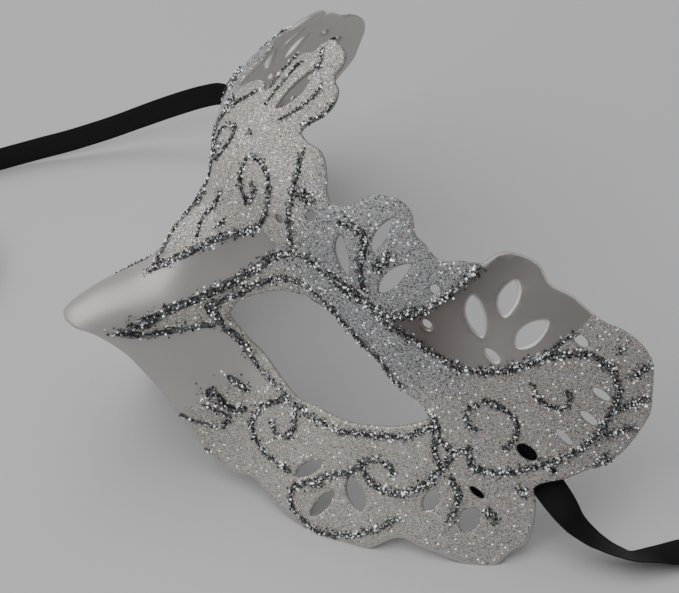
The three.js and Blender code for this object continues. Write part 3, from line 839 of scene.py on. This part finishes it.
class Value:
    """A socket's value. An expression on it adds its Math nodes."""

    def __init__(self, finish, socket):
        self.finish = finish
        self.socket = socket

    def __add__(self, other):
        return self.finish.math("ADD", self, other)

    def __radd__(self, other):
        return self.finish.math("ADD", other, self)

    def __sub__(self, other):
        return self.finish.math("SUBTRACT", self, other)

    def __rsub__(self, other):
        return self.finish.math("SUBTRACT", other, self)

    def __mul__(self, other):
        return self.finish.math("MULTIPLY", self, other)

    def __rmul__(self, other):
        return self.finish.math("MULTIPLY", other, self)


class Finish:
    """One material and its nodes."""

    def __init__(self, name):
        self.material = bpy.data.materials.new(name)
        self.material.use_nodes = True
        self.tree = self.material.node_tree
        self.shader = self.tree.nodes["Principled BSDF"]

    def feed(self, socket, value):
        if isinstance(value, Value):
            self.tree.links.new(value.socket, socket)
        else:
            socket.default_value = value

    def node(self, kind, settings, inputs, output=0):
        made = self.tree.nodes.new(kind)
        for name, value in settings.items():
            if name == "stops":
                self.set_stops(made.color_ramp, value)
            else:
                setattr(made, name, value)
        for name, value in inputs.items():
            self.feed(made.inputs[name], value)
        return Value(self, made.outputs[output])

    def set_stops(self, ramp, stops):
        while len(ramp.elements) < len(stops):
            ramp.elements.new(1)
        for element, (place, colour) in zip(ramp.elements, stops):
            element.position = place
            element.color = (*colour, 1)

    def math(self, operation, first, second):
        return self.node("ShaderNodeMath", {"operation": operation}, {0: first, 1: second})

    def vector(self, operation, first, second):
        return self.node("ShaderNodeVectorMath", {"operation": operation}, {0: first, 1: second})

    def scaled(self, vector, amount):
        return self.node("ShaderNodeVectorMath", {"operation": "SCALE"}, {0: vector, "Scale": amount})

    def mix(self, share, first, second):
        return self.blend("MIX", share, first, second)

    def blend(self, mode, share, first, second):
        return self.node(
            "ShaderNodeMix", {"data_type": "RGBA", "blend_type": mode},
            {0: share, 6: first, 7: second}, output=2,
        )

    def ramp(self, value, *stops):
        return self.node("ShaderNodeValToRGB", {"stops": stops}, {"Fac": value})

    def step(self, value, low, high):
        return self.node("ShaderNodeMapRange", {}, {"Value": value, "From Min": low, "From Max": high})

    def attribute(self, name, output="Fac"):
        return self.node("ShaderNodeAttribute", {"attribute_name": name}, {}, output=output)

    def channel(self, colour, which):
        return self.node("ShaderNodeSeparateColor", {}, {"Color": colour}, output=which)

    def place(self, per_mm):
        """Coordinates that count so many cells or waves to a millimetre."""
        coordinates = self.node("ShaderNodeTexCoord", {}, {}, output="Object")
        return self.scaled(coordinates, 1000 * per_mm)

    def noise(self, place, detail=2.0):
        return self.node("ShaderNodeTexNoise", {}, {"Vector": place, "Scale": 1.0, "Detail": detail})

    def cells(self, place, output="Color"):
        return self.node("ShaderNodeTexVoronoi", {}, {"Vector": place, "Scale": 1.0}, output=output)

    def bump(self, height, distance, strength):
        return self.node(
            "ShaderNodeBump", {}, {"Height": height, "Distance": distance, "Strength": strength}
        )

    def surface(self, **values):
        for name, value in values.items():
            title = name.replace("_", " ").title().replace("Ior", "IOR")
            self.feed(self.shader.inputs[title], value)
        return self.material


def tilted(finish, colour, amount):
    """The surface's own direction, tipped a random way in each cell."""
    normal = finish.node("ShaderNodeNewGeometry", {}, {}, output="Normal")
    way = finish.vector("SUBTRACT", colour, (0.5, 0.5, 0.5))
    tipped = finish.vector("ADD", normal, finish.scaled(way, amount))
    return finish.vector("NORMALIZE", tipped, (0, 0, 0))


PEARL_DEEP = (0.502, 0.479, 0.451, 1)
PEARL_PALE = (0.554, 0.531, 0.502, 1)
# The fine glitter has small flakes, and larger grains among them
FLAKES_PER_MM = 3.4
GRAINS_PER_MM = 1.3
DARK_FLAKE = (0.07, 0.07, 0.074, 1)
DARK_GRAIN = (0.06, 0.06, 0.063, 1)


def flake_colour(finish, flakes, mirror, tint, silvery):
    """Each flake has a faint hue of its own over the tint. Some are dark, and some nearly white."""
    film = finish.ramp(
        finish.channel(flakes, 1), (0.0, (0.95, 0.6, 0.62)), (0.2, (0.98, 0.9, 0.72)),
        (0.42, (0.6, 0.95, 0.75)), (0.6, (0.6, 0.82, 1.0)), (0.8, (0.85, 0.78, 1.0)), (1.0, (1, 1, 1)),
    )
    dark = finish.step(finish.channel(flakes, 0), 0.2, 0.08)
    colour = finish.blend("MULTIPLY", 0.4, tint, film)
    colour = finish.mix(dark * (0.5 + silvery * 0.4), colour, DARK_FLAKE)
    return finish.mix(mirror * 0.7, colour, finish.blend("SCREEN", 0.7, film, (1, 1, 1, 1)))


def flake_bumps(finish, grid, flakes, glitter):
    """Lumps and flakes stand up a little, and each flake faces a way of its own."""
    lumps = finish.noise(finish.place(1.5), 3.0)
    fine = finish.cells(grid, "Distance")
    bumps = finish.bump((lumps + fine * 0.5) * glitter, 0.00018, 0.8)
    finish.feed(bumps.socket.node.inputs["Normal"], tilted(finish, flakes, glitter * 1.1))
    return bumps


def larger_grains(finish, colour, silvery, glitter):
    """The colour with dark grains in it, and painted glints: the grains that shine as if they caught the
    light.
    """
    grid = finish.place(GRAINS_PER_MM)
    grains = finish.cells(grid)
    near = finish.step(finish.cells(grid, "Distance"), 0.34, 0.26)
    dark = finish.step(finish.channel(grains, 1) - silvery * 0.13, 0.2, 0.15) * near * glitter
    # Painted glints: a few grains shine as if they caught the lamps
    lit = finish.step(finish.channel(grains, 2) + silvery * 0.07, 0.89, 0.93) * near * glitter
    fire = finish.ramp(
        finish.channel(grains, 0), (0.0, (1, 0.72, 0.76)), (0.3, (1, 1, 1)), (0.55, (1, 1, 1)),
        (0.7, (0.55, 1, 0.7)), (0.85, (1, 0.97, 0.7)), (1.0, (0.75, 0.9, 1)),
    )
    colour = finish.mix(dark * (0.4 + silvery * 0.5), colour, DARK_GRAIN)
    return colour, finish.mix(lit, (0, 0, 0, 1), fire)


def pearl_and_glitter():
    """Pearl paint under painted shade and light, with fine iridescent glitter and painted glints where the
    piece's glitter attribute says.
    """
    finish = Finish("pearl_and_glitter")
    # The painted shade and light that the pearl is multiplied by
    shade = finish.attribute("bare_shade", "Color")
    cloud = finish.noise(finish.place(0.06))
    pearl = finish.blend("MULTIPLY", 1.0, finish.mix(cloud, PEARL_DEEP, PEARL_PALE), shade)
    gloss = 0.2 + finish.channel(shade, 0) * 0.29

    ragged = finish.noise(finish.place(1.6))
    glitter = finish.step(finish.attribute("glitter") + (ragged - 0.5) * 0.9, 0.42, 0.58)
    tint = finish.attribute("tint", "Color")
    silvery = finish.step(finish.channel(tint, 0), CREAM[0], 0.47)
    grid = finish.place(FLAKES_PER_MM)
    flakes = finish.cells(grid)
    mirror = finish.step(finish.channel(flakes, 0), 0.8, 0.86)
    colour = finish.mix(glitter, pearl, flake_colour(finish, flakes, mirror, tint, silvery))
    # The larger grains, with their painted glints
    colour, painted_glint = larger_grains(finish, colour, silvery, glitter)
    return finish.surface(
        base_color=colour, metallic=0.48 - glitter * 0.33 + mirror * glitter * 0.75,
        roughness=gloss * (1 - glitter) + glitter * 0.45 - mirror * glitter * 0.3,
        coat_weight=0.08, coat_roughness=0.35, normal=flake_bumps(finish, grid, flakes, glitter),
        emission_color=painted_glint, emission_strength=1.1,
    )


def silver_grains():
    """Grains and glue from near black to white, by the tone that each was given, with painted glints
    shining on the lightest grains.
    """
    finish = Finish("silver_grains")
    tone = finish.attribute("tone")
    colour = finish.ramp(
        tone, (0.0, (0.02, 0.02, 0.022)), (0.34, (0.08, 0.08, 0.083)), (0.54, (0.29, 0.29, 0.295)),
        (0.78, (0.52, 0.52, 0.525)), (1.0, (0.97, 0.97, 0.97)),
    )
    smudge = finish.noise(finish.place(3.0))
    # Painted glints: the lightest grains shine as if they caught the lamps
    lit = finish.step(tone, 0.9, 0.92)
    painted_glint = finish.mix(lit, (0, 0, 0, 1), (0.96, 1, 0.98, 1))
    return finish.surface(
        base_color=colour, metallic=0.7, roughness=0.12 + smudge * 0.2,
        emission_color=painted_glint, emission_strength=0.8,
    )


def black_satin():
    """Black satin ribbon with its weft across it and a firm edge."""
    finish = Finish("black_satin")
    woven = finish.attribute("weave", "Vector")
    across = finish.node("ShaderNodeSeparateXYZ", {}, {"Vector": woven}, output=0)
    along = finish.node("ShaderNodeSeparateXYZ", {}, {"Vector": woven}, output=1)
    weft = finish.math("SINE", along * 18.0, 0)
    warp = finish.math("SINE", across * 30.0, 0)
    streaks = finish.noise(finish.vector("MULTIPLY", woven, (6.0, 0.35, 1.0)), 3.0)
    rim = finish.step(finish.math("ABSOLUTE", across, 0), 3.4, 3.7)
    colour = finish.mix(streaks, (0.002, 0.002, 0.0025, 1), (0.006, 0.006, 0.007, 1))
    colour = finish.mix(rim * 0.5, colour, (0.008, 0.008, 0.009, 1))
    ribs = finish.bump(weft * 0.5 + warp * 0.35 * (1 - rim) + streaks * 0.3, 0.00006, 0.6)
    return finish.surface(
        base_color=colour, roughness=0.42 + streaks * 0.16 + rim * 0.12, normal=ribs,
        sheen_weight=0.03, sheen_roughness=0.4, specular_ior_level=0.22,
    )


def table_top():
    """A plain pale table with hardly any grain."""
    finish = Finish("table_top")
    clouds = finish.noise(finish.place(0.004))
    grain = finish.noise(finish.place(0.8), 4.0)
    colour = finish.mix(clouds, (0.583, 0.581, 0.59, 1), (0.603, 0.601, 0.608, 1))
    return finish.surface(
        base_color=colour, roughness=0.55 + grain * 0.1, normal=finish.bump(grain, 0.00005, 0.2)
    )


def dress(piece, material, slot, *nodes):
    """Gives the piece its material, attaches it to the root body, and hides the solids that it stands for.
    Its slot is not used.
    """
    piece.data.materials.clear()
    piece.data.materials.append(material)
    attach(piece, "root")
    if nodes:
        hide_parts(*nodes)


def make_ribbon(name, route, coil, first_angle, side, satin):
    """One ribbon, as its strip with the coil, and its glued end."""
    line = ribbon_path(route, coil, first_angle)
    ribbon = make_strip(f"satin_{name}", line, RIBBON_WIDTH, RIBBON_THICK)
    dress(ribbon, satin, "black_satin", name, f"{name}_coil")
    tab = make_tab(f"satin_{name}_end", side)
    dress(tab, satin, "black_satin", f"{name}_end")


def light(name, place, size, power):
    """A soft square lamp that faces the middle of the mask."""
    way = Vector(place) - Vector((0, 0, 0.04))
    turn = way.to_track_quat("Z", "Y").to_euler()
    bpy.ops.object.light_add(type="AREA", location=place, rotation=turn)
    lamp = bpy.context.object
    lamp.name = name
    lamp.data.size = size
    lamp.data.energy = power


def make_studio():
    """The table, two lamps and a dim, even sky."""
    bpy.ops.object.select_all(action="DESELECT")
    bpy.ops.mesh.primitive_plane_add(size=8)
    table = bpy.context.object
    table.name = "table"
    table.data.materials.append(table_top())
    light("lamp_over", (-0.21, -0.5, 1.45), 2.5, 34.5)
    light("lamp_front", (0.35, -1.2, 0.8), 0.3, 1.2)
    world = bpy.data.worlds.new("studio")
    bpy.context.scene.world = world
    world.use_nodes = True
    sky = world.node_tree.nodes["Background"]
    sky.inputs["Color"].default_value = (0.97, 0.98, 1.0, 1)
    sky.inputs["Strength"].default_value = 0.154


place_camera()
satin = black_satin()
make_ribbon("ribbon_left", LEFT_ROUTE, LEFT_COIL, 0, 1, satin)
make_ribbon("ribbon_right", RIGHT_ROUTE, RIGHT_COIL, math.pi, -1, satin)
shell = make_shell()
dress(shell, pearl_and_glitter(), "glitter_plastic", "mask")
silver = silver_grains()
left_lines = make_silver("silver_lines_left", 1, (*SILVER_LINES, *MIDDLE_LINES), seed=5)
right_lines = make_silver("silver_lines_right", -1, SILVER_LINES, seed=8)
dress(left_lines, silver, "glitter_plastic")
dress(right_lines, silver, "glitter_plastic")
make_studio()
